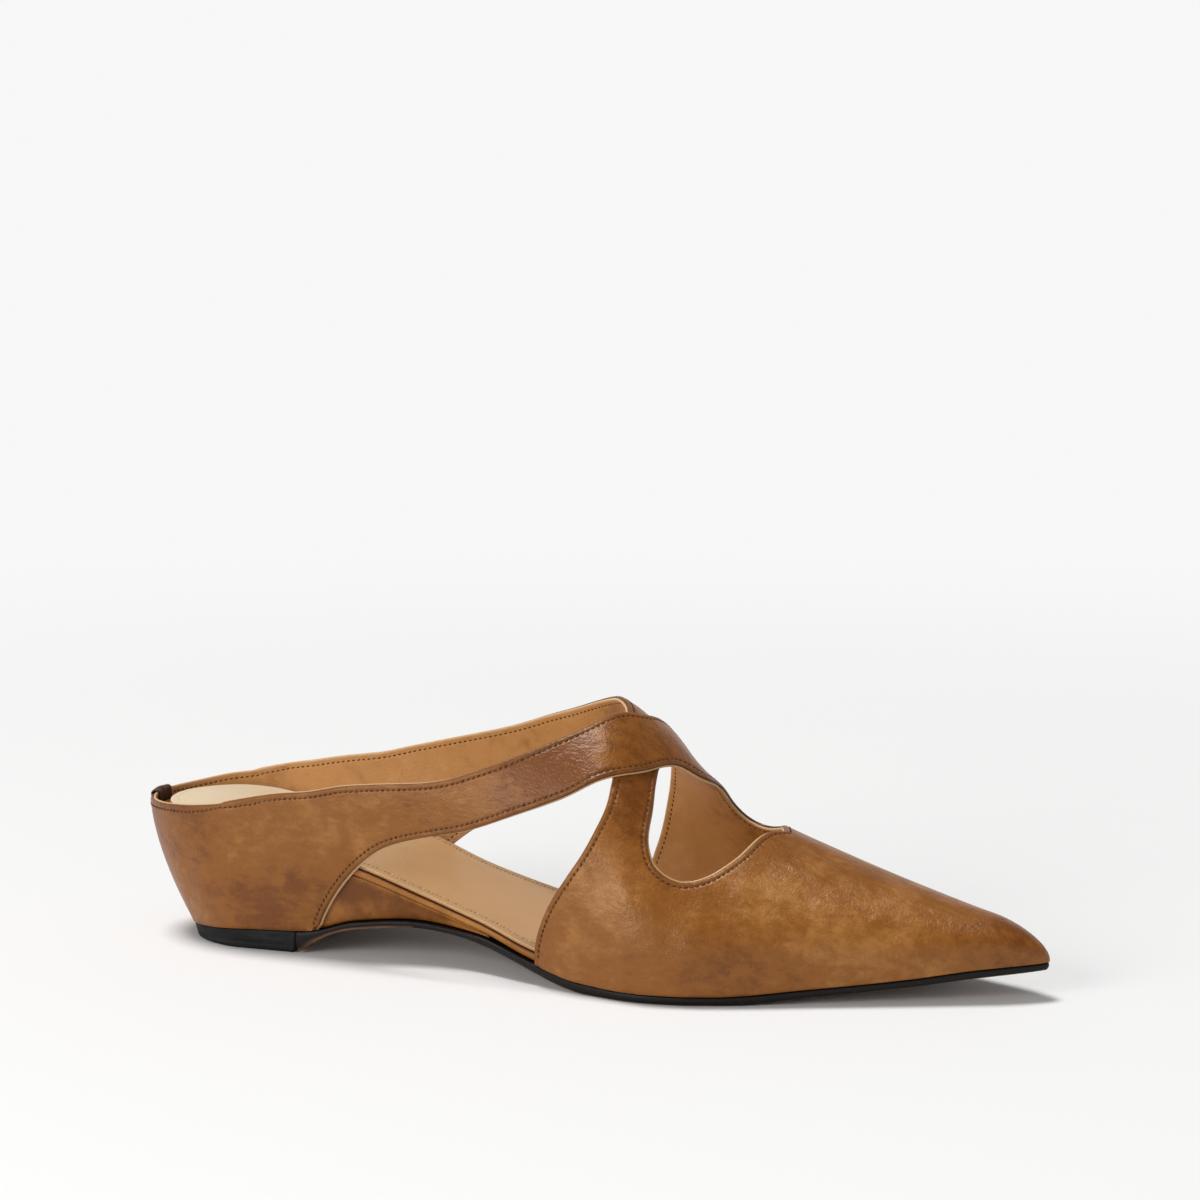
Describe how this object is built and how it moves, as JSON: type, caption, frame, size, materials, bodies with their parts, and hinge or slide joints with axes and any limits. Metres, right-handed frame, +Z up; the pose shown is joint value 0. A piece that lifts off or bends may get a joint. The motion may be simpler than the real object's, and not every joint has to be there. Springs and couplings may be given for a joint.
{
  "type": "mule shoe",
  "caption": "Pointed flat leather mule with a hidden wedge: straps cross over the instep above open sides and run into a long pointed vamp.",
  "frame": {"origin": "middle of the shoe's length and width, on the floor that it stands on", "axes": "+X from heel to toe, +Z up, +Y towards the medial side and -Y towards the lateral side of a right foot"},
  "size_m": [0.2766, 0.0844, 0.077],
  "materials": {
    "upper_leather": "burnished cognac calf leather, satin",
    "lining_leather": "smooth tan lining leather",
    "sock_leather": "pale beige sock leather",
    "wrap_leather": "brown leather cover of wedge and insole board",
    "sole_leather": "brown leather sole with black painted edge",
    "heel_rubber": "matt dark grey heel lift",
    "thread": "dark brown waxed thread"
  },
  "bodies": {
    "root": {"upper": "upper_leather", "sock": "sock_leather", "insole_board": "wrap_leather", "wedge": "wrap_leather", "outsole": "sole_leather", "heel": "heel_rubber"}
  },
  "joints": []
}
